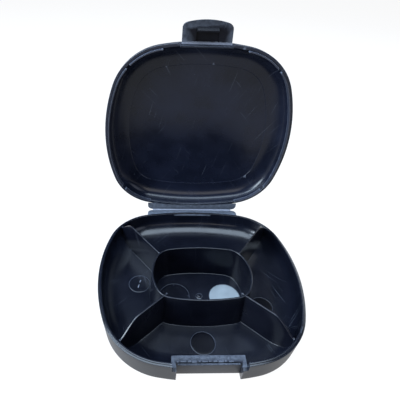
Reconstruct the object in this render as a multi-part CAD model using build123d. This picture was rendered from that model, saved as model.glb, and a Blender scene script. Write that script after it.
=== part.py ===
from build123d import *
import math
import os

os.makedirs("parts", exist_ok=True)

# One-piece moulded clamshell paint box: a divided tray, a lid on a living hinge
# and a latch flap on a second living hinge at the lid's front edge.
# X to the right, Y to the hinge, Z up. Origin: middle of the tray's flat underside.
# The lid stands open, just short of upright, and the latch flap lies in the lid's rim plane.

# ---- driving dimensions, mm -------------------------------------------------
# outline at the tray rim: eight tangent arcs, left and right alike
HALF_WIDTH = 75.0
SIDE_Y = 5.05            # where the side arcs are widest
SIDE_R = 126.7
BACK_Y, BACK_R, BACK_CORNER_R = 72.1, 221.7, 39.8
FRONT_Y, FRONT_R, FRONT_CORNER_R = 72.2, 177.4, 46.4

RIM_Z = 17.5             # outer ledge of the tray rim
LIP_RISE = 0.6           # raised inner lip
LEDGE_W = 1.1            # width of the outer ledge
RIM_W = 2.6              # whole rim, ledge and lip
FLOOR_T = 1.6
WALL_DRAFT = 1.4         # outer wall leans in this much by the foot
FOOT_CHAMFER = 0.7
CORE_A, CORE_B = 15.0, 11.0   # tray inside: width and height of the floor radius
CORE_DRAFT = 0.5

CUP_Y = -8.2
CUP_A, CUP_SIDE_R = 35.6, 34.0
CUP_B, CUP_END_R, CUP_CORNER_R = 24.6, 130.0, 13.5
CUP_TOP = 28.6
CUP_WALL = 1.2
CUP_DRAFT_OUT, CUP_DRAFT_IN = 1.1, 1.2

DIV_T_TOP, DIV_T_FOOT = 1.2, 2.0
DIV_REAR = ((31.0, 11.2), (61.5, 51.3))     # two points on the wall's middle line
DIV_FRONT = ((26.5, -28.1), (63.4, -61.8))

RECESS_HALF = 20.0       # latch recess in the tray's front wall
LEDGE_HALF = 22.8        # ledge over the recess, let into the rim a little wider
NOSE_HALF = 19.0
PANEL_Y = -65.5
CATCH_BACK_Y = -60.5
CATCH_TOP = 12.0
NOSE_T, NOSE_OUT = 0.8, 1.0

HINGE_Y, HINGE_Z = 75.6, 17.3
LEAF_HALF, LEAF_T, LEAF_R = 40.3, 1.2, 4.0
HINGE_GAP = 0.35
WEB_T = 0.3

LID_INSET, LID_SHIFT_Y = 1.4, 0.5
LID_GAP = 0.05
LID_TOP = 30.7
LID_PANEL_Z = 29.0
LID_RIM_W = 2.3
LID_LIP_T, LID_LIP_H = 1.0, 1.6
LID_IN_A, LID_OUT_A = 14.6, 16.0
CROWN_K = 0.8            # under 1 squares the crown
CHORD_Y = -68.7          # straight front edge of the lid where the latch hangs
CHORD_HALF = 19.0
APRON_HALF, APRON_T, APRON_H = 18.0, 1.2, 3.5
LIP_FRONT_GAP, LIP_REAR_GAP = 29.0, 37.5

LATCH_HALF, LATCH_TIP_HALF = 17.0, 16.9
LATCH_L, LATCH_SHOULDER = 15.1, 12.6
LATCH_T = 1.5
LATCH_WEB_L = 1.2
HOOK_HALF = 7.3
HOOK_D0, HOOK_D1, HOOK_D2, HOOK_H = 7.45, 8.55, 10.4, 3.1

LID_OPEN_DEG = 88.7

CELL_DISC_R, CUP_DISC_R, DISC_GROOVE_W, DISC_GROOVE_D = 8.0, 11.7, 0.35, 0.2


# ---- outline helpers --------------------------------------------------------
def corner_centre(c1, r1, c2, r2, up):
    """centre at distance r1 from c1 and r2 from c2, on the outer side"""
    dx, dy = c2[0] - c1[0], c2[1] - c1[1]
    d = math.hypot(dx, dy)
    a = (r1 * r1 - r2 * r2 + d * d) / (2 * d)
    h = math.sqrt(r1 * r1 - a * a)
    mx, my = c1[0] + a * dx / d, c1[1] + a * dy / d
    both = [(mx - h * dy / d, my + h * dx / d), (mx + h * dy / d, my - h * dx / d)]
    return max(both, key=lambda p: p[0] + up * p[1])


class Outline:
    """eight tangent arcs, mirrored in X; off moves it outwards"""

    def __init__(self, a, side_y, side_r, by, br, bc, fy, fr, fc, cy=0.0):
        self.cy = cy
        self.side = (a - side_r, side_y, side_r)
        self.back = (0.0, by - br, br)
        self.front = (0.0, -(fy - fr), fr)
        s, b, f = self.side, self.back, self.front
        pb = corner_centre(s, side_r - bc, b, br - bc, 1)
        pf = corner_centre(s, side_r - fc, f, fr - fc, -1)
        self.bc = (pb[0], pb[1], bc)
        self.fc = (pf[0], pf[1], fc)
        ang = lambda p, c: math.degrees(math.atan2(p[1] - c[1], p[0] - c[0]))
        self.t1, self.t2 = ang(pb, s), ang(pb, b)
        self.s1, self.s2 = ang(pf, s), ang(pf, f)

    def arcs(self):
        s, b, f, p, q = self.side, self.back, self.front, self.bc, self.fc
        t1, t2, s1, s2 = self.t1, self.t2, self.s1, self.s2
        return [
            (s[0], s[1], s[2], s1, t1),
            (p[0], p[1], p[2], t1, t2),
            (b[0], b[1], b[2], t2, 180 - t2),
            (-p[0], p[1], p[2], 180 - t2, 180 - t1),
            (-s[0], s[1], s[2], 180 - t1, 180 - s1),
            (-q[0], q[1], q[2], 180 - s1, 180 - s2),
            (f[0], f[1], f[2], 180 - s2, 360 + s2),
            (q[0], q[1], q[2], 360 + s2, 360 + s1),
        ]

    def wire(self, off, z):
        return Wire(
            [
                Edge.make_circle(r + off, Plane((x, y + self.cy, z)), a0, a1)
                for x, y, r, a0, a1 in self.arcs()
            ]
        )


def stack(line, sections):
    """solid through the outline at each (off, z)"""
    return Solid.make_loft([line.wire(o, z) for o, z in sections], ruled=True)


def quarter(o0, z0, a, b, n, up=True, k=1.0):
    """floor or crown radius from the wall inwards; k under 1 makes it squarer than an ellipse"""
    pts = []
    for i in range(1, n + 1):
        t = math.pi / 2 * i / n
        c, q = max(0.0, math.cos(t)) ** k, math.sin(t) ** k
        pts.append((o0 - a * (1 - c), z0 + (b if up else -b) * q))
    return pts


def block(x0, x1, y0, y1, z0, z1):
    return Pos((x0 + x1) / 2, (y0 + y1) / 2, (z0 + z1) / 2) * Box(x1 - x0, y1 - y0, z1 - z0)


def mirror_x(shape):
    return mirror(shape, about=Plane.YZ)


tray_line = Outline(HALF_WIDTH, SIDE_Y, SIDE_R, BACK_Y, BACK_R, BACK_CORNER_R, FRONT_Y, FRONT_R, FRONT_CORNER_R)
cup_line = Outline(CUP_A, 0.0, CUP_SIDE_R, CUP_B, CUP_END_R, CUP_CORNER_R, CUP_B, CUP_END_R, CUP_CORNER_R, cy=CUP_Y)
lid_line = Outline(HALF_WIDTH, SIDE_Y, SIDE_R, BACK_Y, BACK_R, BACK_CORNER_R, FRONT_Y, FRONT_R, FRONT_CORNER_R, cy=LID_SHIFT_Y)
LIP_TOP = RIM_Z + LIP_RISE

# ---- tray -------------------------------------------------------------------
outer = stack(
    tray_line,
    [(-WALL_DRAFT - FOOT_CHAMFER, 0), (-WALL_DRAFT, FOOT_CHAMFER), (0, RIM_Z)],
)
lip = stack(tray_line, [(-LEDGE_W, RIM_Z - 1), (-LEDGE_W, LIP_TOP)])
core_foot = FLOOR_T + CORE_B
core_pts = [(-RIM_W + 0.05, LIP_TOP + 1), (-RIM_W - CORE_DRAFT, core_foot)]
core_pts += quarter(-RIM_W - CORE_DRAFT, core_foot, CORE_A, CORE_B, 6, up=False)
core = stack(tray_line, core_pts)
mouth = block(-LEDGE_HALF, LEDGE_HALF, -90, CATCH_BACK_Y + 3, CATCH_TOP, 40)
recess = block(-RECESS_HALF, RECESS_HALF, -90, PANEL_Y, -1, CATCH_TOP + 1)
tray = (outer + lip) - mouth - recess - core


def ring_groove(x, y, r):
    g = Cylinder(r + DISC_GROOVE_W, DISC_GROOVE_D) - Cylinder(r, DISC_GROOVE_D)
    return Pos(x, y, FLOOR_T - DISC_GROOVE_D / 2) * g


for x, y, r in (
    (0, -46.4, CELL_DISC_R),
    (-45.2, 3.2, CELL_DISC_R),
    (45.2, -17.5, CELL_DISC_R),
    (-18.4, -7.0, CUP_DISC_R),
    (19.6, -9.4, CUP_DISC_R),
):
    tray -= ring_groove(x, y, r)
tray = tray.solids().sort_by(SortBy.VOLUME)[-1]

# ---- latch catch: ledge and panel that close the recess ---------------------
catch = block(-LEDGE_HALF, LEDGE_HALF, PANEL_Y, CATCH_BACK_Y, FLOOR_T, CATCH_TOP)
for x0, x1 in ((-LEDGE_HALF, -RECESS_HALF), (RECESS_HALF, LEDGE_HALF)):
    catch += block(x0, x1, -68.5, PANEL_Y, FLOOR_T, CATCH_TOP)
catch += block(-NOSE_HALF, NOSE_HALF, PANEL_Y - NOSE_OUT, PANEL_Y, CATCH_TOP - NOSE_T, CATCH_TOP)
catch -= tray
catch = catch.solids().sort_by(SortBy.VOLUME)[-1]

# ---- centre cup -------------------------------------------------------------
cup = stack(cup_line, [(CUP_DRAFT_OUT, FLOOR_T), (0, CUP_TOP)])
cup -= stack(
    cup_line,
    [(-CUP_WALL - CUP_DRAFT_IN, FLOOR_T - 0.01), (-CUP_WALL, CUP_TOP + 0.01)],
)
cup_full = stack(cup_line, [(CUP_DRAFT_OUT, FLOOR_T), (0, CUP_TOP)])

# ---- dividers: straight walls whose tops fall away under the lid's crown -----
env_pts = [(-LID_INSET - 2.9, LIP_TOP), (-LID_INSET - 3.25, LIP_TOP + 1.05)]
env_pts += quarter(-LID_INSET - 3.25, LIP_TOP + 1.05, LID_IN_A, CUP_TOP - LIP_TOP - 1.05, 8, k=CROWN_K)
envelope = stack(lid_line, env_pts)
low_zone = block(-90, 90, -90, 90, FLOOR_T, LIP_TOP)


def divider(p0, p1):
    (x0, y0), (x1, y1) = p0, p1
    length = math.hypot(x1 - x0, y1 - y0)
    ang = math.degrees(math.atan2(y1 - y0, x1 - x0))
    h = CUP_TOP - FLOOR_T
    pts = [
        (-DIV_T_FOOT / 2, 0),
        (DIV_T_FOOT / 2, 0),
        (DIV_T_TOP / 2, h),
        (-DIV_T_TOP / 2, h),
    ]
    prof = Plane(origin=(0, 0, 0), x_dir=(0, 1, 0), z_dir=(1, 0, 0)) * Polygon(*pts, align=None)
    wall = extrude(prof, amount=length + 12)
    wall = Pos(x0, y0, FLOOR_T) * Rot(0, 0, ang) * Pos(-6, 0, 0) * wall
    wall = (wall & low_zone) + (wall & envelope)
    wall = wall - tray - cup_full
    return wall.solids().sort_by(SortBy.VOLUME)[-1]


rear_right = divider(*DIV_REAR)
front_right = divider(*DIV_FRONT)
rear_left = mirror_x(rear_right).solids()[0]
front_left = mirror_x(front_right).solids()[0]


# ---- hinge leaves and web ---------------------------------------------------
def leaf(y0, y1, z0, z1):
    """plate with rounded outer corners at y1"""
    plate = block(-LEAF_HALF, LEAF_HALF, y0, y1, z0, z1)
    return fillet(plate.edges().filter_by(Axis.Z).group_by(Axis.Y)[-1], LEAF_R)


base_leaf = leaf(BACK_Y - 12, HINGE_Y - HINGE_GAP, HINGE_Z - 0.1 - LEAF_T, HINGE_Z - 0.1)
base_leaf = base_leaf - tray - core
base_leaf = base_leaf.solids().sort_by(SortBy.VOLUME)[-1]

LID_Z0 = LIP_TOP + LID_GAP
lid_outer_pts = [(-LID_INSET, LID_Z0), (-LID_INSET - 0.3, LID_Z0 + 2.4)]
lid_outer_pts += quarter(-LID_INSET - 0.3, LID_Z0 + 2.4, LID_OUT_A, LID_TOP - LID_Z0 - 2.4, 8, k=CROWN_K)
lid_outer = stack(lid_line, lid_outer_pts)
lid_core_pts = [(-LID_INSET - LID_RIM_W, LID_Z0 - 1), (-LID_INSET - LID_RIM_W - 0.5, LID_Z0 + 1.4)]
lid_core_pts += quarter(-LID_INSET - LID_RIM_W - 0.5, LID_Z0 + 1.4, LID_IN_A, LID_PANEL_Z - LID_Z0 - 1.4, 8, k=CROWN_K)
lid_core = stack(lid_line, lid_core_pts)
lid = lid_outer - lid_core
lid -= block(-CHORD_HALF, CHORD_HALF, -90, CHORD_Y, 0, 40)
lid = lid.solids().sort_by(SortBy.VOLUME)[-1]

lid_leaf = leaf(BACK_Y - 12, HINGE_Y - HINGE_GAP, LID_Z0, LID_Z0 + LEAF_T)
lid_leaf = (lid_leaf - lid - lid_core).solids().sort_by(SortBy.VOLUME)[-1]

# seal lip under the lid rim, broken at the latch, the hinge and the four dividers
seal = stack(lid_line, [(-LID_INSET - LID_RIM_W, LID_Z0 - LID_LIP_H), (-LID_INSET - LID_RIM_W, LID_Z0)])
seal -= stack(
    lid_line,
    [(-LID_INSET - LID_RIM_W - LID_LIP_T, LID_Z0 - LID_LIP_H - 1), (-LID_INSET - LID_RIM_W - LID_LIP_T, LID_Z0 + 1)],
)
# the lip hangs from a shoulder inside the lid wall
shoulder = stack(lid_line, [(-LID_INSET - LID_RIM_W + 0.0, LID_Z0), (-LID_INSET - LID_RIM_W + 0.0, LID_Z0 + 1.2)])
shoulder -= stack(
    lid_line,
    [(-LID_INSET - LID_RIM_W - LID_LIP_T, LID_Z0 - 1), (-LID_INSET - LID_RIM_W - LID_LIP_T, LID_Z0 + 2)],
)
seal = seal + (shoulder - lid)
seal -= block(-LIP_FRONT_GAP, LIP_FRONT_GAP, -90, -40, 0, 40)
seal -= block(-LIP_REAR_GAP, LIP_REAR_GAP, 40, 90, 0, 40)
for p0, p1 in (DIV_REAR, DIV_FRONT):
    ang = math.degrees(math.atan2(p1[1] - p0[1], p1[0] - p0[0]))
    notch = Pos(p1[0], p1[1], LID_Z0) * Rot(0, 0, ang) * Box(60, 3.2, 10)
    seal -= notch
    seal -= mirror_x(notch)

apron = block(-APRON_HALF, APRON_HALF, CHORD_Y + 0.3, CHORD_Y + 0.3 + APRON_T, LID_Z0 - APRON_H, LID_Z0)

# ---- latch flap -------------------------------------------------------------
LATCH_Y0 = CHORD_Y - LATCH_WEB_L
LATCH_Z0 = LID_Z0 + 0.05
AXIS_LY, AXIS_LZ = CHORD_Y - LATCH_WEB_L / 2, LATCH_Z0 + WEB_T / 2
flap_line = Polyline(
    (-LATCH_HALF, LATCH_Y0),
    (-LATCH_TIP_HALF, CHORD_Y - LATCH_SHOULDER),
)
tip = ThreePointArc(
    (-LATCH_TIP_HALF, CHORD_Y - LATCH_SHOULDER),
    (0, CHORD_Y - LATCH_L),
    (LATCH_TIP_HALF, CHORD_Y - LATCH_SHOULDER),
)
flap_edges = [
    Edge.make_line((-LATCH_HALF, LATCH_Y0, 0), (-LATCH_TIP_HALF, CHORD_Y - LATCH_SHOULDER, 0)),
    tip.edges()[0],
    Edge.make_line((LATCH_TIP_HALF, CHORD_Y - LATCH_SHOULDER, 0), (LATCH_HALF, LATCH_Y0, 0)),
    Edge.make_line((LATCH_HALF, LATCH_Y0, 0), (-LATCH_HALF, LATCH_Y0, 0)),
]
flap = extrude(Face(Wire(flap_edges)), amount=LATCH_T, dir=(0, 0, 1))
tips = flap.edges().filter_by(Axis.Z).sort_by(Axis.Y)[:2]
flap = fillet(tips, 3.0)
flap = Pos(0, 0, LATCH_Z0) * flap
flap -= block(-HOOK_HALF, HOOK_HALF, AXIS_LY - HOOK_D0, AXIS_LY - 1.6, LATCH_Z0 - 1, LATCH_Z0 + 0.6)
# the hook: a flat catching face and a sloped lead-in
hook_profile = Plane(origin=(-HOOK_HALF, 0, 0), x_dir=(0, 1, 0), z_dir=(1, 0, 0)) * Polygon(
    (AXIS_LY - HOOK_D0, LATCH_Z0),
    (AXIS_LY - HOOK_D0, LATCH_Z0 - HOOK_H),
    (AXIS_LY - HOOK_D1, LATCH_Z0 - HOOK_H),
    (AXIS_LY - HOOK_D2, LATCH_Z0),
    align=None,
)
hook = extrude(hook_profile, amount=2 * HOOK_HALF, dir=(1, 0, 0))
latch_web = block(-LATCH_HALF, LATCH_HALF, LATCH_Y0, CHORD_Y, LATCH_Z0, LATCH_Z0 + WEB_T)
# the web's root on the lid
latch_web = latch_web - lid


# ---- everything on the lid swings up to its open position --------------------
hinge_axis = Axis((0, HINGE_Y, HINGE_Z), (1, 0, 0))


def opened(shape):
    return shape.rotate(hinge_axis, -LID_OPEN_DEG)


# web: a strip along the tray's leaf and one down from the lid's leaf
web_half = LEAF_HALF - LEAF_R
lid_web = block(-web_half, web_half, HINGE_Y - HINGE_GAP, HINGE_Y + LID_Z0 - HINGE_Z + WEB_T, HINGE_Z - 0.1 - WEB_T, HINGE_Z - 0.1)
lid_web += opened(block(-web_half, web_half, HINGE_Y - HINGE_GAP, HINGE_Y + 0.3, LID_Z0, LID_Z0 + WEB_T))

nodes = {
    "base_tray": tray,
    "centre_cup": cup,
    "divider_rear_left": rear_left,
    "divider_rear_right": rear_right,
    "divider_front_left": front_left,
    "divider_front_right": front_right,
    "latch_catch": catch,
    "base_hinge_leaf": base_leaf,
    "lid_hinge_web": lid_web,
    "lid_shell": opened(lid),
    "lid_seal_lip": opened(seal),
    "lid_hinge_leaf": opened(lid_leaf),
    "lid_latch_apron": opened(apron),
    "latch_hinge_web": opened(latch_web),
    "latch_flap": opened(flap),
    "latch_hook": opened(hook),
}
for name, shape in nodes.items():
    export_step(shape, f"parts/{name}.step")
    print(name, len(shape.solids()), round(sum(s.volume for s in shape.solids()), 1))
print("lid hinge axis", HINGE_Y, HINGE_Z)
a = math.radians(-LID_OPEN_DEG)
dy, dz = AXIS_LY - HINGE_Y, AXIS_LZ - HINGE_Z
print("latch axis open pose: y", HINGE_Y + dy * math.cos(a) - dz * math.sin(a), "z", HINGE_Z + dy * math.sin(a) + dz * math.cos(a))
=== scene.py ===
import bpy, bmesh, math
from mathutils import Vector, Matrix


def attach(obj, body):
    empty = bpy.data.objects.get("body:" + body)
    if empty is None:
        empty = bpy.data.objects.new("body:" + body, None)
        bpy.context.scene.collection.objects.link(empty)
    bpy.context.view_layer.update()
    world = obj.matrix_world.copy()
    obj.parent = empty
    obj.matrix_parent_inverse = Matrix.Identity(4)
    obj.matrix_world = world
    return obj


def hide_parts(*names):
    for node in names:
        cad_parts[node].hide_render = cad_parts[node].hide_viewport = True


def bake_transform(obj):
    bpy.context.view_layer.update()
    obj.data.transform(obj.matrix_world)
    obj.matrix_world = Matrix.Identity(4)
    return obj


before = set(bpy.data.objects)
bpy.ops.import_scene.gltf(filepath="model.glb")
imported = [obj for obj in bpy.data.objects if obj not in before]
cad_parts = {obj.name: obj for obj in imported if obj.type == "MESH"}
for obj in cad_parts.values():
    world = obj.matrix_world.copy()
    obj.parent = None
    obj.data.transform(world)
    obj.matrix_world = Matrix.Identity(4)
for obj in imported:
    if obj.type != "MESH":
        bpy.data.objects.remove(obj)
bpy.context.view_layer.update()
MM = 0.001

# ------------------------------------------------------------------ dimensions, mm
RIM_Z, LIP_TOP, FLOOR_T = 17.5, 18.1, 1.6
HINGE_Y, HINGE_Z = 75.6, 17.3
LID_Z0, LID_TOP, LID_PANEL = 18.15, 30.7, 29.0
CHORD_Y = -68.7
CUP_Y, CUP_TOP = -8.2, 28.6
REC, LEDGE, PANEL_Y, CATCH_TOP, CATCH_BACK = 20.0, 22.8, -65.5, 12.0, -60.5
OPEN = math.radians(88.7)


# ------------------------------------------------------------------ outline
def corner_centre(c1, r1, c2, r2, up):
    dx, dy = c2[0] - c1[0], c2[1] - c1[1]
    d = math.hypot(dx, dy)
    a = (r1 * r1 - r2 * r2 + d * d) / (2 * d)
    h = math.sqrt(r1 * r1 - a * a)
    mx, my = c1[0] + a * dx / d, c1[1] + a * dy / d
    both = [(mx - h * dy / d, my + h * dx / d), (mx + h * dy / d, my - h * dx / d)]
    return max(both, key=lambda p: p[0] + up * p[1])


class Outline:
    """eight tangent arcs; at(off) gives one ring of points"""

    def __init__(self, a, side_y, side_r, by, br, bc, fy, fr, fc, cy=0.0, n=(26, 26, 30, 26)):
        self.cy = cy
        s, b, f = (a - side_r, side_y), (0.0, by - br), (0.0, fr - fy)
        pb = corner_centre(s, side_r - bc, b, br - bc, 1)
        pf = corner_centre(s, side_r - fc, f, fr - fc, -1)
        ang = lambda p, c: math.degrees(math.atan2(p[1] - c[1], p[0] - c[0]))
        t1, t2, s1, s2 = ang(pb, s), ang(pb, b), ang(pf, s), ang(pf, f)
        ns, nc, nb, nf = n
        arcs = [
            (s[0], s[1], side_r, s1, t1, ns),
            (pb[0], pb[1], bc, t1, t2, nc),
            (b[0], b[1], br, t2, 180 - t2, nb),
            (-pb[0], pb[1], bc, 180 - t2, 180 - t1, nc),
            (-s[0], s[1], side_r, 180 - t1, 180 - s1, ns),
            (-pf[0], pf[1], fc, 180 - s1, 180 - s2, nc),
            (f[0], f[1], fr, 180 - s2, 360 + s2, nf),
            (pf[0], pf[1], fc, 360 + s2, 360 + s1, nc),
        ]
        self.pts = []
        for x, y, r, a0, a1, k in arcs:
            for i in range(k):
                self.pts.append((x, y, r, math.radians(a0 + (a1 - a0) * i / k)))

    def at(self, off):
        return [(x + (r + off) * math.cos(t), y + self.cy + (r + off) * math.sin(t)) for x, y, r, t in self.pts]


TRAY = (75.0, 5.05, 126.7, 72.1, 221.7, 39.8, 72.2, 177.4, 46.4)
tray_line = Outline(*TRAY)
lid_line = Outline(*TRAY, cy=0.5, n=(26, 26, 30, 110))
cup_line = Outline(35.6, 0.0, 34.0, 24.6, 130.0, 13.5, 24.6, 130.0, 13.5, cy=CUP_Y, n=(22, 18, 22, 22))


def ell(o0, z0, a, b, n, up=True, first=0, k=1.0):
    """quarter ellipse from the wall inwards, squarer when k is under 1"""
    out = []
    for i in range(first, n + 1):
        t = math.pi / 2 * i / n
        c, q = max(0.0, math.cos(t)) ** k, max(0.0, math.sin(t)) ** k
        out.append((o0 - a * (1 - c), z0 + (b if up else -b) * q))
    return out


# ------------------------------------------------------------------ mesh helpers
def finish_mesh(bm, name, sharp=34, mat=None, place=None):
    """place: maps a closed-lid point to where it is at rest"""
    bmesh.ops.remove_doubles(bm, verts=bm.verts, dist=0.002)
    bmesh.ops.recalc_face_normals(bm, faces=bm.faces)
    for v in bm.verts:
        p = place(v.co) if place else v.co
        v.co = Vector(p) * MM
    if place:
        bmesh.ops.recalc_face_normals(bm, faces=bm.faces)
    for f in bm.faces:
        f.smooth = True
    lim = math.radians(sharp)
    for e in bm.edges:
        if len(e.link_faces) == 2:
            e.smooth = e.calc_face_angle(0) < lim
    me = bpy.data.meshes.new(name)
    bm.to_mesh(me)
    bm.free()
    ob = bpy.data.objects.new(name, me)
    bpy.context.scene.collection.objects.link(ob)
    if mat:
        me.materials.append(mat)
    return ob


def opened(p):
    """closed-lid point turned back about the lid hinge to the open lid"""
    c, q = math.cos(OPEN), math.sin(OPEN)
    y, z = p[1] - HINGE_Y, p[2] - HINGE_Z
    return (p[0], HINGE_Y + y * c + z * q, HINGE_Z - y * q + z * c)


def sweep_rings(bm, rings, closed_profile=False):
    """rings: list of lists of (x, y, z), all the same length, each a closed loop"""
    vs = [[bm.verts.new(p) for p in ring] for ring in rings]
    n = len(vs[0])
    m = len(vs)
    last = m if closed_profile else m - 1
    for k in range(last):
        a, b = vs[k], vs[(k + 1) % m]
        for i in range(n):
            j = (i + 1) % n
            try:
                bm.faces.new((a[i], a[j], b[j], b[i]))
            except ValueError:
                pass
    return vs


def cap_rings(bm, ring, z, centre, steps=6):
    """fills a ring inwards with shrinking rings and a fan"""
    n = len(ring)
    prev = ring
    for s in range(1, steps):
        k = 1 - s / steps
        cur = [bm.verts.new((centre[0] + (v.co.x - centre[0]) * k, centre[1] + (v.co.y - centre[1]) * k, z(k) if callable(z) else z)) for v in ring]
        for i in range(n):
            j = (i + 1) % n
            bm.faces.new((prev[i], prev[j], cur[j], cur[i]))
        prev = cur
    c = bm.verts.new((centre[0], centre[1], z(0) if callable(z) else z))
    for i in range(n):
        bm.faces.new((prev[i], prev[(i + 1) % n], c))


def ring_of(line, off, z, clamp=None):
    out = []
    for x, y in line.at(off):
        if clamp and abs(x) <= 19.0 and y < clamp:
            y = clamp
        out.append((x, y, z))
    return out


def box_bm(x0, x1, y0, y1, z0, z1):
    bm = bmesh.new()
    bmesh.ops.create_cube(bm, size=1.0)
    for v in bm.verts:
        v.co = Vector(((x0 + x1) / 2 + v.co.x * (x1 - x0), (y0 + y1) / 2 + v.co.y * (y1 - y0), (z0 + z1) / 2 + v.co.z * (z1 - z0)))
    return bm


def bevel_all(bm, w, seg=3, angle=40):
    es = [e for e in bm.edges if len(e.link_faces) == 2 and e.calc_face_angle(0) > math.radians(angle)]
    bmesh.ops.bevel(bm, geom=es, offset=w, segments=seg, profile=0.6, affect="EDGES", clamp_overlap=True)


def prism(pts, z0, z1):
    """outline in XY drawn up from z0 to z1"""
    bm = bmesh.new()
    lo = [bm.verts.new((x, y, z0)) for x, y in pts]
    hi = [bm.verts.new((x, y, z1)) for x, y in pts]
    bm.faces.new(lo[::-1])
    bm.faces.new(hi)
    n = len(pts)
    for i in range(n):
        j = (i + 1) % n
        bm.faces.new((lo[i], lo[j], hi[j], hi[i]))
    return bm


def boolean(ob, cutters, op="DIFFERENCE"):
    for c in cutters:
        m = ob.modifiers.new("cut", "BOOLEAN")
        m.operation, m.solver, m.object = op, "EXACT", c
        dg = bpy.context.evaluated_depsgraph_get()
        me = bpy.data.meshes.new_from_object(ob.evaluated_get(dg))
        ob.modifiers.clear()
        old = ob.data
        ob.data = me
        bpy.data.meshes.remove(old)
        bpy.data.objects.remove(c)
    return ob


def resharp(ob, angle=34):
    bm = bmesh.new()
    bm.from_mesh(ob.data)
    bmesh.ops.remove_doubles(bm, verts=bm.verts, dist=0.000004)
    bmesh.ops.dissolve_degenerate(bm, edges=bm.edges, dist=0.000002)
    for f in bm.faces:
        f.smooth = True
    for e in bm.edges:
        if len(e.link_faces) == 2:
            e.smooth = e.calc_face_angle(0) < math.radians(angle)
    bm.to_mesh(ob.data)
    bm.free()


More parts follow.
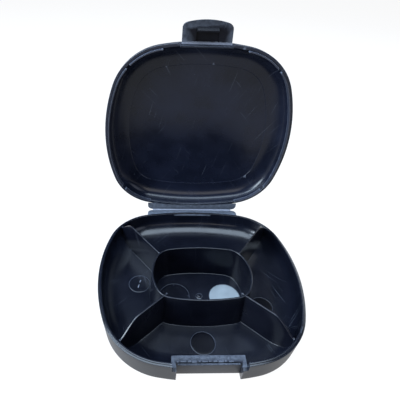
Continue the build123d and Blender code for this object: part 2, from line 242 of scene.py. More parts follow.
# ------------------------------------------------------------------ materials
def plastic(name, base, rough=0.34, spec=0.5, grain=0.12, scratch=0.0, speck=0.0, tint=(0.30, 0.34, 0.42), wear_and_highlight=0.25, flow=0.5, rot=0.5, upright=False):
    m = bpy.data.materials.new(name)
    m.use_nodes = True
    nt = m.node_tree
    N, L = nt.nodes, nt.links
    N.clear()
    out = N.new("ShaderNodeOutputMaterial")
    bs = N.new("ShaderNodeBsdfPrincipled")
    L.new(bs.outputs[0], out.inputs[0])
    tc = N.new("ShaderNodeTexCoord")

    def noise(scale, detail=3.0, rough_=0.5, vec=None, dist=0.0):
        n = N.new("ShaderNodeTexNoise")
        n.inputs["Scale"].default_value = scale
        n.inputs["Detail"].default_value = detail
        n.inputs["Roughness"].default_value = rough_
        n.inputs["Distortion"].default_value = dist
        L.new(vec or tc.outputs["Object"], n.inputs["Vector"])
        return n.outputs["Fac"]

    def ramp(sock, p0, p1, v0=0.0, v1=1.0):
        r = N.new("ShaderNodeMapRange")
        r.inputs["From Min"].default_value = p0
        r.inputs["From Max"].default_value = p1
        r.inputs["To Min"].default_value = v0
        r.inputs["To Max"].default_value = v1
        r.clamp = True
        L.new(sock, r.inputs["Value"])
        return r.outputs["Result"]

    def math_(op, a, b):
        n = N.new("ShaderNodeMath")
        n.operation = op
        for s, v in zip(n.inputs, (a, b)):
            if hasattr(v, "default_value"):
                L.new(v, s)
            else:
                s.default_value = v
        return n.outputs[0]

    def mix(fac, a, b):
        n = N.new("ShaderNodeMix")
        n.data_type = "RGBA"
        if hasattr(fac, "default_value"):
            L.new(fac, n.inputs["Factor"])
        else:
            n.inputs["Factor"].default_value = fac
        for key, v in (("A", a), ("B", b)):
            s = [i for i in n.inputs if i.name == key and i.type == "RGBA"][0]
            if hasattr(v, "default_value"):
                L.new(v, s)
            else:
                s.default_value = (*v, 1)
        return [o for o in n.outputs if o.type == "RGBA"][0]

    blotch = noise(42.0, 4.0, 0.55)
    flowm = N.new("ShaderNodeMapping")
    flowm.inputs["Rotation"].default_value = (0.0, 0.0, rot)
    flowm.inputs["Scale"].default_value = (1.0, 0.16, 1.0)
    L.new(tc.outputs["Object"], flowm.inputs["Vector"])
    flow_n = noise(70.0, 3.0, 0.5, flowm.outputs[0], 0.6)
    fine = noise(5200.0, 2.0, 0.6)
    mid = noise(1500.0, 2.0, 0.5)

    dark = tuple(c * 0.72 for c in base)
    light = tuple(min(1, c * 1.35) for c in base)
    col = mix(ramp(blotch, 0.32, 0.68), dark, light)
    col = mix(math_("MULTIPLY", ramp(flow_n, 0.45, 0.75), 0.35 * flow), col, light)

    r = math_("ADD", ramp(blotch, 0.3, 0.7, rough - 0.035, rough + 0.045), ramp(flow_n, 0.3, 0.7, -0.02 * flow, 0.03 * flow))

    height = math_("ADD", math_("MULTIPLY", fine, 0.6), math_("MULTIPLY", mid, 0.4))

    # convex edges lighten towards tint: partly rubbing wear, partly a painted highlight along the rims
    if wear_and_highlight:
        g = N.new("ShaderNodeNewGeometry")
        edge = math_("MULTIPLY", ramp(g.outputs["Pointiness"], 0.52, 0.62), ramp(noise(420.0, 3.0, 0.6), 0.35, 0.7, 0.45, 1.0))
        col = mix(math_("MULTIPLY", edge, wear_and_highlight), col, tint)

    if scratch:
        total = None
        for k, (ang, thr, ln) in enumerate(((0.95, 0.725, 22.0), (-0.80, 0.735, 30.0), (1.30, 0.74, 26.0))):
            turn = N.new("ShaderNodeVectorRotate")
            turn.rotation_type = "Y_AXIS" if upright else "Z_AXIS"
            turn.inputs["Angle"].default_value = ang
            L.new(tc.outputs["Object"], turn.inputs["Vector"])
            mp = N.new("ShaderNodeMapping")
            mp.inputs["Location"].default_value = (0.013 * k, 0.031 * k, 0.007)
            mp.inputs["Scale"].default_value = (ln, 1.0, 2300.0) if upright else (ln, 2300.0, 1.0)
            L.new(turn.outputs[0], mp.inputs["Vector"])
            s = ramp(noise(1.0, 1.0, 0.4, mp.outputs[0]), thr, thr + 0.03)
            s = math_("MULTIPLY", s, ramp(noise(30.0 + 9 * k, 1.0), 0.46, 0.6))
            total = s if total is None else math_("MAXIMUM", total, s)
        col = mix(math_("MULTIPLY", total, scratch), col, tint)
        r = math_("ADD", r, math_("MULTIPLY", total, 0.12 * scratch))
        height = math_("SUBTRACT", height, math_("MULTIPLY", total, 0.8 * scratch))

    if speck:
        v = N.new("ShaderNodeTexVoronoi")
        v.inputs["Scale"].default_value = 190.0
        L.new(tc.outputs["Object"], v.inputs["Vector"])
        dot = ramp(v.outputs["Distance"], 0.030, 0.018)
        sep = N.new("ShaderNodeSeparateColor")
        L.new(v.outputs["Color"], sep.inputs[0])
        dot = math_("MULTIPLY", dot, ramp(sep.outputs[0], 0.90, 0.93))
        col = mix(math_("MULTIPLY", dot, speck), col, (0.42, 0.46, 0.52))

    bump = N.new("ShaderNodeBump")
    bump.inputs["Strength"].default_value = grain
    bump.inputs["Distance"].default_value = 0.00006
    L.new(height, bump.inputs["Height"])
    L.new(bump.outputs[0], bs.inputs["Normal"])
    L.new(col, bs.inputs["Base Color"])
    L.new(r, bs.inputs["Roughness"])
    bs.inputs["Specular IOR Level"].default_value = spec
    bs.inputs["IOR"].default_value = 1.49
    return m


M_TRAY_IN = plastic("tray_inside", (0.0018, 0.0022, 0.0042), rough=0.21, spec=0.24, scratch=0.07, speck=0.3, flow=1.0, wear_and_highlight=0.06, grain=0.08)
M_TRAY_OUT = plastic("tray_outside", (0.016, 0.016, 0.018), rough=0.46, spec=0.3, scratch=0.10, grain=0.35, tint=(0.10, 0.10, 0.11))
# the stronger edge lightening on the cup and the dividers is partly a painted highlight on their top rims
M_CUP = plastic("cup_plastic", (0.0016, 0.0019, 0.0036), rough=0.21, spec=0.20, grain=0.08, scratch=0.06, flow=0.8, wear_and_highlight=0.2)
M_DIV = plastic("divider_plastic", (0.0017, 0.0020, 0.0038), rough=0.22, spec=0.20, grain=0.08, scratch=0.06, flow=0.8, wear_and_highlight=0.2)
M_LID_IN = plastic("lid_inside", (0.0034, 0.0044, 0.0090), rough=0.22, spec=0.20, grain=0.08, scratch=0.11, speck=0.6, flow=1.0, upright=True)
M_LID_OUT = plastic("lid_outside", (0.014, 0.014, 0.017), rough=0.44, spec=0.3, scratch=0.25, grain=0.3, upright=True)
M_LIP = plastic("lip_plastic", (0.008, 0.009, 0.015), rough=0.32, spec=0.28)
M_HINGE = plastic("hinge_plastic", (0.0034, 0.0041, 0.0068), rough=0.38, spec=0.10, grain=0.2)
M_GRIP = plastic("grip_plastic", (0.011, 0.013, 0.019), rough=0.40, spec=0.2, grain=0.25, tint=(0.12, 0.14, 0.18), wear_and_highlight=0.3)
M_LEDGE = plastic("ledge_plastic", (0.0030, 0.0036, 0.0062), rough=0.45, spec=0.07, grain=0.3, wear_and_highlight=0.12)
M_WEB = plastic("web_plastic", (0.085, 0.092, 0.115), rough=0.38, spec=0.3, grain=0.2, tint=(0.4, 0.43, 0.5))
M_LATCH = plastic("latch_plastic", (0.0018, 0.0020, 0.0036), rough=0.38, spec=0.08, grain=0.3, scratch=0.2, upright=True, wear_and_highlight=0.15)
M_POCKET = plastic("latch_pocket", (0.0018, 0.0019, 0.0030), rough=0.5, spec=0.06, grain=0.3, wear_and_highlight=0.0)
M_MARK = plastic("mould_mark", (0.0010, 0.0011, 0.0020), rough=0.22, spec=0.10, grain=0.05, wear_and_highlight=0.0)
M_MARK_EDGE = plastic("mould_mark_edge", (0.011, 0.013, 0.019), rough=0.34, spec=0.15, wear_and_highlight=0.0)
# pale base colour painted on the disc at the cup's right: a painted highlight for the light falling on it
M_MARK_PAINTED_HIGHLIGHT = plastic("mould_mark_painted_highlight", (0.085, 0.098, 0.108), rough=0.40, spec=0.3, grain=0.15, scratch=0.3, tint=(0.05, 0.06, 0.07), wear_and_highlight=0.0)

# ------------------------------------------------------------------ tray
core_o, core_z, CA, CB = -3.1, FLOOR_T + 11.0, 15.0, 11.0
prof = [(-2.15, 0.0), (-1.85, 0.07), (-1.6, 0.26), (-1.44, 0.52), (-1.38, 0.85), (-1.2, 3.0), (-0.8, 8.0), (-0.4, 13.0), (-0.05, 17.0),
        (-0.06, 17.25), (-0.16, 17.42), (-0.34, 17.5), (-0.92, 17.5), (-1.06, 17.56), (-1.1, 17.66), (-1.12, 17.92), (-1.2, 18.05), (-1.36, 18.1),
        (-2.2, 18.1), (-2.42, 18.06), (-2.55, 17.95), (-2.62, 17.75), (-2.7, 16.2), (-2.85, 14.6), (-3.0, 13.3)]
prof += ell(core_o, core_z, CA, CB, 26, up=False)
bm = bmesh.new()
vs = sweep_rings(bm, [ring_of(tray_line, o, z) for o, z in prof])
cap_rings(bm, vs[0], 0.0, (0, 0))
cap_rings(bm, vs[-1], FLOOR_T, (0, 0))
tray = finish_mesh(bm, "tray_shell", 34)
cut1 = finish_mesh(box_bm(-REC, REC, -95, PANEL_Y, -5, 45), "cut1", 30)
cut2 = finish_mesh(box_bm(-LEDGE, LEDGE, -95, CATCH_BACK + 3, 11.98, 45), "cut2", 30)
boolean(tray, [cut1, cut2])
tray.data.materials.clear()
tray.data.materials.append(M_TRAY_IN)
tray.data.materials.append(M_TRAY_OUT)
resharp(tray)
for p in tray.data.polygons:
    c = p.center
    out_face = p.normal.z < -0.5 or c.z < 0.0016 or (c.z < 0.0174 and p.normal.z < 0.3 and (c.x * p.normal.x + c.y * p.normal.y) > 0)
    p.material_index = 1 if out_face else 0
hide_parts("base_tray")
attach(tray, "base")

# ------------------------------------------------------------------ latch ledge with a grip pattern
upts = [(-LEDGE + 0.03, -68.1), (-REC - 0.02, -68.1), (-REC - 0.02, PANEL_Y), (REC + 0.02, PANEL_Y), (REC + 0.02, -68.1), (LEDGE - 0.03, -68.1), (LEDGE - 0.03, CATCH_BACK), (-LEDGE + 0.03, CATCH_BACK)]
bm = prism(upts, 1.7, CATCH_TOP)
bevel_all(bm, 0.22)
ledge = finish_mesh(bm, "latch_ledge", 40, M_LEDGE)
bm = box_bm(-19.0, 19.0, PANEL_Y - 1.0, PANEL_Y + 0.8, CATCH_TOP - 0.8, CATCH_TOP)
bevel_all(bm, 0.28)
nose = finish_mesh(bm, "latch_ledge_nose", 40, M_LEDGE)
bm = box_bm(-REC + 0.02, REC - 0.02, PANEL_Y - 0.12, PANEL_Y + 0.4, 0.15, CATCH_TOP - 0.9)
bevel_all(bm, 0.08, 2)
panel = finish_mesh(bm, "recess_panel", 40, M_TRAY_OUT)
for o in (nose, panel):
    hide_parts("latch_catch")
    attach(o, "base")
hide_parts("latch_catch")
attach(ledge, "base")

# two rows of raised dashes, uneven lengths so that they grip in every direction
bm = bmesh.new()
for yc, x0, lens in (
    (-62.0, -20.6, (2.6, 1.5, 3.4, 0.9, 2.2, 3.0, 1.2, 2.7, 1.7, 3.2, 1.0, 2.4)),
    (-64.3, -19.4, (1.3, 3.1, 1.9, 2.7, 1.1, 3.3, 1.6, 2.2, 3.0, 1.2, 2.6)),
):
    x = x0
    for k, ln in enumerate(lens):
        w_ = 0.52 + 0.14 * math.sin(5.1 * k + yc)
        dy_ = 0.16 * math.sin(3.7 * k + x0)
        t = box_bm(x, min(x + ln, 21.4), yc - w_ + dy_, yc + w_ + dy_, CATCH_TOP - 0.1, CATCH_TOP + 0.24)
        bevel_all(t, 0.12, 2)
        me = bpy.data.meshes.new("t")
        t.to_mesh(me)
        t.free()
        bm.from_mesh(me)
        bpy.data.meshes.remove(me)
        x += ln + 1.0 + 0.4 * math.sin(2.3 * k)
dashes = finish_mesh(bm, "ledge_grip", 40, M_GRIP)
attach(dashes, "base")

# ------------------------------------------------------------------ centre cup
cprof = [(1.45, 1.3), (1.45, 1.6), (1.28, 1.66), (1.15, 1.82), (1.08, 2.1), (0.55, 15.0), (0.03, 28.0), (0.0, 28.25), (-0.08, 28.44), (-0.22, 28.56), (-0.4, 28.6),
         (-0.82, 28.6), (-1.0, 28.56), (-1.13, 28.44), (-1.2, 28.25), (-1.22, 28.0), (-1.75, 15.0), (-2.3, 2.6), (-2.34, 2.1), (-2.44, 1.82), (-2.58, 1.66), (-2.76, 1.6), (-2.76, 1.3)]
bm = bmesh.new()
sweep_rings(bm, [ring_of(cup_line, o, z) for o, z in cprof], closed_profile=True)
cup = finish_mesh(bm, "centre_cup_wall", 34, M_CUP)
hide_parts("centre_cup")
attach(cup, "base")


# ------------------------------------------------------------------ dividers
def off_of(line_pts, x, y):
    """signed distance of a point inside the tray outline (negative inside)"""
    best = 1e9
    for cx, cy, r, t in line_pts:
        px, py = cx + r * math.cos(t), cy + r * math.sin(t)
        d = math.hypot(px - x, py - y)
        best = min(best, d)
    return -best


dense = Outline(*TRAY, n=(120, 120, 120, 120))
dense_lid = Outline(*TRAY, cy=0.5, n=(120, 120, 120, 120))


def floor_z(off):
    if off < core_o - CA:
        return FLOOR_T
    k = (off - (core_o - CA)) / CA
    if k < 1:
        return core_z - CB * math.sqrt(max(0, 1 - k * k))
    return core_z


def crown_z(off):
    """how high a divider may stand under the shut lid"""
    # falls away gently and stays under the lid's inner wall
    if off > -3.9:
        return LIP_TOP - 0.1
    k = min(1.0, (-3.9 - off) / 15.35)
    return LIP_TOP - 0.1 + (CUP_TOP - LIP_TOP + 0.08) * math.sin(math.pi / 2 * k) ** 1.2


def divider(name, node, p0, p1, sx):
    (x0, y0), (x1, y1) = p0, p1
    L_ = math.hypot(x1 - x0, y1 - y0)
    ux, uy = (x1 - x0) / L_, (y1 - y0) / L_
    nx, ny = -uy, ux
    s = -2.0
    rows = []
    ss = []
    while True:
        x, y = x0 + ux * s, y0 + uy * s
        off = off_of(dense.pts, x, y)
        offl = off_of([(a, b + 0.5, c, d) for a, b, c, d in dense_lid.pts], x, y)
        inside = True
        if s > L_ * 0.3 and off > -2.75:
            break
        ss.append((s, x, y, off, offl))
        s += 0.9 if off < -22 else 0.45
    for s, x, y, off, offl in ss:
        zt = crown_z(offl)
        zt = min(zt, CUP_TOP)
        if off > -3.4:
            zt = LIP_TOP - 0.12
        zf = max(FLOOR_T, floor_z(off) if off < -3.1 else core_z)
        h = max(0.6, zt - zf)
        tt = 0.6
        half = lambda z: tt + 0.4 * (CUP_TOP - z) / (CUP_TOP - FLOOR_T)
        r = 0.42
        sec = []
        flare = min(0.4, h * 0.2)
        sec.append((half(zf) + flare, zf - 0.35))
        for k in range(0, 5):
            a = math.pi / 2 * k / 4
            sec.append((half(zf) + flare * (1 - math.sin(a)), zf + flare * (1 - math.cos(a))))
        for f in (0.35, 0.7):
            z = zf + flare + (h - flare - r) * f
            sec.append((half(z), z))
        for k in range(0, 5):
            a = math.pi / 2 * k / 4
            sec.append((half(zt) - r * (1 - math.cos(a)), zt - r + r * math.sin(a)))
        full = [(w, z) for w, z in sec] + [(-w, z) for w, z in reversed(sec)]
        rows.append([(sx * (x + nx * w), y + ny * w, z) for w, z in full])
    bm = bmesh.new()
    vs = [[bm.verts.new(p) for p in row] for row in rows]
    n = len(vs[0])
    for a, b in zip(vs, vs[1:]):
        for i in range(n):
            j = (i + 1) % n
            bm.faces.new((a[i], a[j], b[j], b[i]))
    bm.faces.new(vs[0])
    bm.faces.new(vs[-1][::-1])
    ob = finish_mesh(bm, name, 40, M_DIV)
    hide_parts(node)
    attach(ob, "base")
    return ob


REAR = ((31.0, 11.2), (61.5, 51.3))
FRONT = ((26.5, -28.1), (63.4, -61.8))
divider("divider_wall_rear_right", "divider_rear_right", *REAR, 1)
divider("divider_wall_rear_left", "divider_rear_left", *REAR, -1)
divider("divider_wall_front_right", "divider_front_right", *FRONT, 1)
divider("divider_wall_front_left", "divider_front_left", *FRONT, -1)


# ------------------------------------------------------------------ round mould marks on the floors
def disc(name, x, y, r, z, mat, edge_mat, lift=0.05, tilt=0.0):
    bm = bmesh.new()
    n = 72
    prof = [(r - 0.25, lift), (r - 0.05, lift - 0.02), (r, -0.02)]
    rings = [[(x + q * math.cos(2 * math.pi * i / n), y + q * math.sin(2 * math.pi * i / n), z + h) for i in range(n)] for q, h in prof]
    vs = sweep_rings(bm, rings)
    cap_rings(bm, vs[0], z + lift, (x, y), 5)
    low = [bm.verts.new((v.co.x, v.co.y, z - 0.2)) for v in vs[-1]]
    for i in range(n):
        j = (i + 1) % n
        bm.faces.new((vs[-1][i], vs[-1][j], low[j], low[i]))
    bm.faces.new(low)
    ob = finish_mesh(bm, name, 50, mat)
    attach(ob, "base")
    # the witness ring around it
    bm = bmesh.new()
    pr = [(r + 0.02, -0.2), (r + 0.02, 0.05), (r + 0.12, 0.11), (r + 0.3, 0.11), (r + 0.42, 0.04), (r + 0.46, -0.2)]
    rings = [[(x + q * math.cos(2 * math.pi * i / n), y + q * math.sin(2 * math.pi * i / n), z + h) for i in range(n)] for q, h in pr]
    sweep_rings(bm, rings, closed_profile=True)
    ob2 = finish_mesh(bm, name + "_ring", 50, edge_mat)
    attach(ob2, "base")


disc("mark_front", -0.9, -46.3, 8.0, FLOOR_T, M_MARK, M_MARK_EDGE)
disc("mark_left", -45.2, 3.1, 7.8, FLOOR_T, M_TRAY_IN, M_MARK_EDGE)
disc("mark_right", 45.2, -18.0, 7.9, FLOOR_T, M_MARK, M_MARK_EDGE)
disc("mark_cup_left", -18.6, -8.2, 11.0, FLOOR_T, M_TRAY_IN, M_MARK_EDGE)
# this disc's pale colour is a painted highlight; the disc at the cup's left keeps the dark tray plastic
disc("mark_cup_right", 19.2, -9.2, 11.4, FLOOR_T, M_MARK_PAINTED_HIGHLIGHT, M_MARK_EDGE)

# gate pip in the cup's middle
bm = bmesh.new()
n = 32
pr = [(0.0, 1.0), (0.9, 0.98), (1.3, 0.8), (1.5, 0.3), (1.9, 0.08), (2.6, 0.0), (2.6, -0.2)]
rings = [[(q * math.cos(2 * math.pi * i / n), -8.6 + q * math.sin(2 * math.pi * i / n), FLOOR_T + h) for i in range(n)] for q, h in pr[1:]]
vs = sweep_rings(bm, rings)
cap_rings(bm, vs[0], FLOOR_T + 1.0, (0, -8.6), 2)
bm.faces.new(vs[-1])
pip = finish_mesh(bm, "gate_pip", 50, M_CUP)
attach(pip, "base")

# two short strokes inside the left mark
bm = bmesh.new()
for (ax, ay), (bx, by) in (((-45.0, 4.6), (-44.2, 6.6)), ((-46.0, -0.6), (-45.4, 2.2))):
    ang = math.atan2(by - ay, bx - ax)
    ln = math.hypot(bx - ax, by - ay)
    t = box_bm(0, ln, -0.22, 0.22, FLOOR_T, FLOOR_T + 0.2)
    bevel_all(t, 0.08, 2)
    for v in t.verts:
        x, y = v.co.x, v.co.y
        v.co.x, v.co.y = ax + x * math.cos(ang) - y * math.sin(ang), ay + x * math.sin(ang) + y * math.cos(ang)
    me = bpy.data.meshes.new("t")
    t.to_mesh(me)
    t.free()
    bm.from_mesh(me)
    bpy.data.meshes.remove(me)
strokes = finish_mesh(bm, "mark_left_strokes", 50, M_WEB)
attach(strokes, "base")

# ------------------------------------------------------------------ lid shell
lp = [(-1.72, 18.15), (-1.55, 18.2), (-1.44, 18.32), (-1.4, 18.5), (-1.5, 19.4), (-1.68, 20.4)]
lp += ell(-1.7, 20.55, 16.0, 10.15, 24, k=0.8)
inner = [(-3.35, 18.15), (-3.55, 18.2), (-3.66, 18.32), (-3.7, 18.5), (-3.95, 19.0), (-4.2, 19.55)]
inner += ell(-4.2, 19.6, 14.6, 9.4, 24, first=1, k=0.8)
bm = bmesh.new()
outer_rings = [ring_of(lid_line, o, z, CHORD_Y) for o, z in lp]
inner_rings = [ring_of(lid_line, o, z) for o, z in inner]
vs = sweep_rings(bm, inner_rings[::-1] + outer_rings)
crown = lambda k: LID_TOP - 0.02 + 0.0 * k
cap_rings(bm, vs[-1], LID_TOP, (0, 0.5))
# the flat panel inside is set off by a fine step
step = [(-19.0, 29.0), (-19.12, 29.12), (-19.3, 29.26), (-19.6, 29.3)]
ring_prev = vs[0]
rr = [[bm.verts.new(p) for p in ring_of(lid_line, o, z)] for o, z in step]
for cur in rr:
    n = len(cur)
    for i in range(n):
        j = (i + 1) % n
        bm.faces.new((ring_prev[i], ring_prev[j], cur[j], cur[i]))
    ring_prev = cur
cap_rings(bm, ring_prev, 29.3, (0, 0.5))
lid = finish_mesh(bm, "lid_shell_skin", 30, M_LID_IN, opened)
lid.data.materials.append(M_LID_OUT)
for p in lid.data.polygons:
    # at rest the inside faces -Y
    c = p.center
    d_axis = (c.x * p.normal.x + (c.z - 0.0925) * p.normal.z)
    outer_side = p.normal.y > 0.15 or (d_axis > 0 and p.normal.y > -0.6)
    p.material_index = 1 if outer_side else 0
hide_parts("lid_shell")
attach(lid, "lid")


# seal lip: strips between the gaps
def strip_bm(bm, line, i0, i1, prof):
    n = len(line.pts)
    rows = []
    i = i0
    idx = []
    while True:
        idx.append(i % n)
        if i % n == i1 % n:
            break
        i += 1
    rings = [[line.at(o)[k] + (z,) for k in idx] for o, z in prof]
    vs = [[bm.verts.new(p) for p in r] for r in rings]
    m = len(vs)
    for a in range(m):
        b = (a + 1) % m
        for k in range(len(idx) - 1):
            bm.faces.new((vs[a][k], vs[a][k + 1], vs[b][k + 1], vs[b][k]))
    bm.faces.new([vs[a][0] for a in range(m)])
    bm.faces.new([vs[a][-1] for a in range(m)][::-1])


fine_lid = Outline(*TRAY, cy=0.5, n=(60, 70, 90, 90))
pts = fine_lid.at(-4.2)
n = len(pts)


def div_dist(x, y):
    best = 1e9
    for (x0, y0), (x1, y1) in (REAR, FRONT):
        L_ = math.hypot(x1 - x0, y1 - y0)
        d = abs((abs(x) - x0) * (y1 - y0) / L_ - (y - y0) * (x1 - x0) / L_)
        side = (abs(x) - x0) * (x1 - x0) + (y - y0) * (y1 - y0)
        if side > 0:
            best = min(best, d)
    return best


solid = []
for x, y in pts:
    gap = (y < -40 and abs(x) < 29.0) or (y > 40 and abs(x) < 37.5) or div_dist(x, y) < 1.7
    solid.append(not gap)
bm = bmesh.new()
lprof = [(-3.7, 16.75), (-3.78, 16.6), (-3.95, 16.55), (-4.45, 16.55), (-4.62, 16.6), (-4.7, 16.75), (-4.72, 18.2), (-4.9, 19.6), (-4.3, 19.7), (-3.62, 18.3)]
start = next(i for i in range(n) if not solid[i])
i = start
while i < start + n:
    if solid[i % n]:
        j = i
        while solid[(j + 1) % n] and j < start + n:
            j += 1
        strip_bm(bm, fine_lid, i, j, lprof)
        i = j + 1
    else:
        i += 1
seal = finish_mesh(bm, "lid_seal_strip", 34, M_LIP, opened)
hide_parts("lid_seal_lip")
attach(seal, "lid")


# ------------------------------------------------------------------ hinge leaves
def leaf_bm(z0, z1, half=40.3, y0=69.6, y1=75.25, r=4.0):
    pts = [(-half, y0), (half, y0)]
    for k in range(0, 9):
        a = math.pi / 2 * k / 8
        pts.append((half - r + r * math.cos(a), y1 - r + r * math.sin(a)))
    for k in range(0, 9):
        a = math.pi / 2 + math.pi / 2 * k / 8
        pts.append((-half + r + r * math.cos(a), y1 - r + r * math.sin(a)))
    bm = prism(pts, z0, z1)
    bevel_all(bm, 0.25, 3, 40)
    return bm


bl = finish_mesh(leaf_bm(16.0, 17.2, y0=68.8), "hinge_leaf_tray", 34, M_HINGE)
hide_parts("base_hinge_leaf")
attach(bl, "base")
ll = finish_mesh(leaf_bm(18.15, 19.35, y0=69.0), "hinge_leaf_lid", 34, M_HINGE, opened)
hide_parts("lid_hinge_leaf")
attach(ll, "lid")


def web_mesh(name, path, half, t, mat, place=None, nx=24):
    """thin strip along path [(y, z)], t thick"""
    m = len(path)
    nor = []
    for i in range(m):
        a, b = path[max(0, i - 1)], path[min(m - 1, i + 1)]
        dy, dz = b[0] - a[0], b[1] - a[1]
        L_ = math.hypot(dy, dz)
        nor.append((-dz / L_, dy / L_))
    bm = bmesh.new()
    top = [[bm.verts.new((-half + 2 * half * k / nx, p[0] + q[0] * t / 2, p[1] + q[1] * t / 2)) for k in range(nx + 1)] for p, q in zip(path, nor)]
    bot = [[bm.verts.new((-half + 2 * half * k / nx, p[0] - q[0] * t / 2, p[1] - q[1] * t / 2)) for k in range(nx + 1)] for p, q in zip(path, nor)]
    for g, flip in ((top, False), (bot, True)):
        for i in range(m - 1):
            for k in range(nx):
                f = (g[i][k], g[i][k + 1], g[i + 1][k + 1], g[i + 1][k])
                bm.faces.new(f[::-1] if flip else f)
    for i in range(m - 1):
        bm.faces.new((top[i][0], top[i + 1][0], bot[i + 1][0], bot[i][0]))
        bm.faces.new((top[i][nx], bot[i][nx], bot[i + 1][nx], top[i + 1][nx]))
    for k in range(nx):
        bm.faces.new((top[0][k], bot[0][k], bot[0][k + 1], top[0][k + 1]))
        bm.faces.new((top[-1][k], top[-1][k + 1], bot[-1][k + 1], bot[-1][k]))
    return finish_mesh(bm, name, 40, mat, place)


path = [(74.6, 16.95), (75.0, 16.95)]
for k in range(0, 13):
    a = -math.pi / 2 + math.pi / 2 * k / 12
    path.append((75.3 + 1.3 * math.cos(a), 17.95 + 1.0 * math.sin(a)))
path += [(76.6, 18.3), (76.6, 18.7)]
web = web_mesh("hinge_web", path, 36.0, 0.3, M_WEB)
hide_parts("lid_hinge_web")
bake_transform(web)

# ------------------------------------------------------------------ latch apron, web, flap and hook
bm = box_bm(-18.0, 18.0, CHORD_Y + 0.3, CHORD_Y + 1.5, LID_Z0 - 3.5, LID_Z0 + 1.2)
bevel_all(bm, 0.3)
apron = finish_mesh(bm, "latch_apron", 40, M_LATCH, opened)
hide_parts("lid_latch_apron")
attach(apron, "lid")

LY0, LZ0, LT = CHORD_Y - 1.2, 18.2, 1.5
AX_Y, AX_Z = CHORD_Y - 0.6, LZ0 + 0.15
path = [(CHORD_Y + 0.5, AX_Z), (CHORD_Y + 0.05, AX_Z)] + [(CHORD_Y - 0.1 * k, AX_Z) for k in range(1, 12)] + [(LY0 - 0.1, AX_Z), (LY0 - 0.5, AX_Z)]
lweb = web_mesh("latch_web", path, 17.0, 0.3, M_WEB, opened)
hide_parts("latch_hinge_web")
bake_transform(lweb)

hw, tw, yl, ys = 17.0, 16.45, CHORD_Y - 15.1, CHORD_Y - 12.6


def flap_outline():
    # straight sides, rounded shoulders, crowned end
    c = (yl * yl - ys * ys - tw * tw) / (2 * (yl - ys))  # centre of the crown arc on x = 0
    R = abs(yl - c)
    pts = [(hw, LY0), (hw - 0.02, LY0 - 2)]
    rad = 2.6
    sx_, sy_ = tw + 0.35, ys
    # side runs down to the shoulder
    pts.append((tw + 0.42, ys + rad))
    for k in range(1, 8):
        a = k / 8
        p0, p1, p2 = (tw + 0.42, ys + rad), (tw + 0.1, ys + 0.1), (tw - rad * 1.05, c - math.sqrt(R * R - (tw - rad * 1.05) ** 2))
        pts.append(tuple((1 - a) ** 2 * u + 2 * a * (1 - a) * v + a * a * w for u, v, w in zip(p0, p1, p2)))
    xs = tw - rad * 1.05
    for k in range(0, 25):
        x = xs - 2 * xs * k / 24
        pts.append((x, c - math.sqrt(R * R - x * x)))
    left = [(-x, y) for x, y in reversed(pts[:-25])]
    return pts + left


fo = flap_outline()
bm = prism(fo, LZ0, LZ0 + LT)
bevel_all(bm, 0.28, 3, 60)
flap = finish_mesh(bm, "latch_flap_plate", 34, M_LATCH)
pk = box_bm(-7.6, 7.6, AX_Y - 7.45, AX_Y - 1.5, LZ0 - 1, LZ0 + 0.75)
cutp = finish_mesh(pk, "cutp", 30)
boolean(flap, [cutp])
bm = bmesh.new()
bm.from_mesh(flap.data)
for v in bm.verts:
    p = opened(v.co / MM)
    v.co = Vector(p) * MM
bm.to_mesh(flap.data)
bm.free()
flap.data.materials.clear()
flap.data.materials.append(M_LATCH)
flap.data.materials.append(M_POCKET)
resharp(flap, 34)
for p in flap.data.polygons:
    y_, z_ = p.center.y * 1000, p.center.z * 1000
    # the pocket's floor and walls lie well inside the plate's thickness
    if abs(p.center.x) < 0.00762 and p.normal.y < -0.9 and max(v_y for v_y in (flap.data.vertices[v].co.y for v in p.vertices)) * 1000 > opened((0, AX_Y - 4, LZ0 + 0.5))[1]:
        p.material_index = 1
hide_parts("latch_flap")
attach(flap, "latch")

hp = [(AX_Y - 7.47, LZ0 + 0.3), (AX_Y - 7.47, LZ0 - 3.08), (AX_Y - 8.53, LZ0 - 3.08), (AX_Y - 10.3, LZ0), (AX_Y - 10.3, LZ0 + 0.3)]
bm = bmesh.new()
ends = [[bm.verts.new((x, y, z)) for y, z in hp] for x in (-7.28, 7.28)]
bm.faces.new(ends[0])
bm.faces.new(ends[1][::-1])
for k in range(5):
    q = (k + 1) % 5
    bm.faces.new((ends[0][k], ends[0][q], ends[1][q], ends[1][k]))
bmesh.ops.recalc_face_normals(bm, faces=bm.faces)
bevel_all(bm, 0.2, 3, 20)
hook = finish_mesh(bm, "latch_hook_ledge", 40, M_POCKET, opened)
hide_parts("latch_hook")
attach(hook, "latch")

# ------------------------------------------------------------------ camera
sc = bpy.context.scene
yaw, pit, roll = math.radians(-2.8784), math.radians(35.9775), math.radians(2.3055)
tx, ty, D, y0 = 21.49, -71.96, 269.600, -1.7781
back = Vector((math.sin(yaw) * math.cos(pit), -math.cos(yaw) * math.cos(pit), math.sin(pit)))
right = Vector((math.cos(yaw), math.sin(yaw), 0))
up = back.cross(right)
r2 = math.cos(roll) * right + math.sin(roll) * up
u2 = -math.sin(roll) * right + math.cos(roll) * up
loc = -tx * r2 - ty * u2 + D * back - Vector((0, y0, 0))
cam_d = bpy.data.cameras.new("camera")
cam_d.sensor_width = 36.0
cam_d.lens = 345.58 / 400 * 36.0
cam_d.shift_x = (200 - 170.0) / 400
cam_d.shift_y = (194.245 - 200) / 400
cam_d.clip_start = 0.01
cam = bpy.data.objects.new("camera", cam_d)
sc.collection.objects.link(cam)
mat = Matrix((r2, u2, back)).transposed().to_4x4()
mat.translation = loc * MM
cam.matrix_world = mat
sc.camera = cam

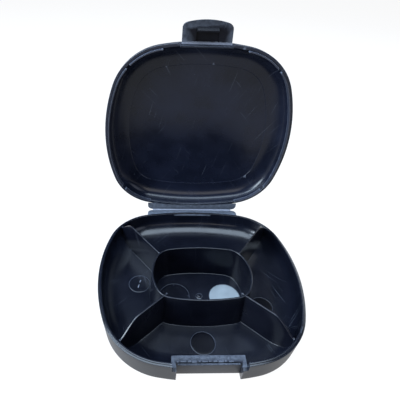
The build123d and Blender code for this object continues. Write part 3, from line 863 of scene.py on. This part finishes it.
# ------------------------------------------------------------------ floor and light
bm = bmesh.new()
bmesh.ops.create_grid(bm, x_segments=2, y_segments=2, size=6.0)
me = bpy.data.meshes.new("floor")
bm.to_mesh(me)
bm.free()
floor = bpy.data.objects.new("floor", me)
sc.collection.objects.link(floor)
fm = bpy.data.materials.new("floor_pale")
fm.use_nodes = True
b = fm.node_tree.nodes["Principled BSDF"]
b.inputs["Base Color"].default_value = (0.05, 0.05, 0.05, 1)
b.inputs["Roughness"].default_value = 0.95
b.inputs["Specular IOR Level"].default_value = 0.0
b.inputs["Emission Color"].default_value = (1.0, 1.0, 1.0, 1)
b.inputs["Emission Strength"].default_value = 0.93
me.materials.append(fm)

w = bpy.data.worlds.new("studio")
sc.world = w
w.use_nodes = True
bg = w.node_tree.nodes["Background"]
bg.inputs[0].default_value = (0.35, 0.50, 1.0, 1)
bg.inputs[1].default_value = 0.14


def area(name, loc_, target, size, power, color=(1, 1, 1), size_y=None):
    ld = bpy.data.lights.new(name, "AREA")
    ld.shape = "RECTANGLE"
    ld.size = size
    ld.size_y = size_y or size
    ld.energy = power
    ld.color = color
    lo = bpy.data.objects.new(name, ld)
    sc.collection.objects.link(lo)
    lo.location = loc_
    lo.rotation_euler = (Vector(target) - Vector(loc_)).to_track_quat("-Z", "Y").to_euler()
    return lo


LIGHTS = (
    ("left_high", (-0.72, 0.02, 0.82), (0, 0.02, 0.03), 0.6, 30.0, (0.66, 0.82, 1.0)),
    ("left_low", (-0.90, -0.34, 0.38), (0, 0.05, 0.08), 0.45, 24.0, (0.74, 0.87, 1.0)),
    ("top", (0.00, -0.04, 1.10), (0, 0.02, 0.03), 0.9, 38.0, (0.68, 0.83, 1.0)),
    ("left_front", (-0.70, -0.60, 0.50), (0, 0.02, 0.03), 0.5, 1.5, (0.60, 0.75, 1.0)),
    ("front_low", (0.10, -1.10, 0.35), (0, 0.02, 0.03), 0.5, 3.0, (1.0, 0.97, 0.93)),
    ("right_front", (0.70, -0.60, 0.50), (0, 0.02, 0.03), 0.5, 2.2, (0.75, 0.82, 1.0)),
    ("right_back", (0.70, 0.60, 0.60), (0, 0.02, 0.03), 0.5, 4.0, (0.85, 0.92, 1.0)),
)
for spec in LIGHTS:
    area(*spec)

sc.view_settings.view_transform = "Standard"

bpy.context.view_layer.update()
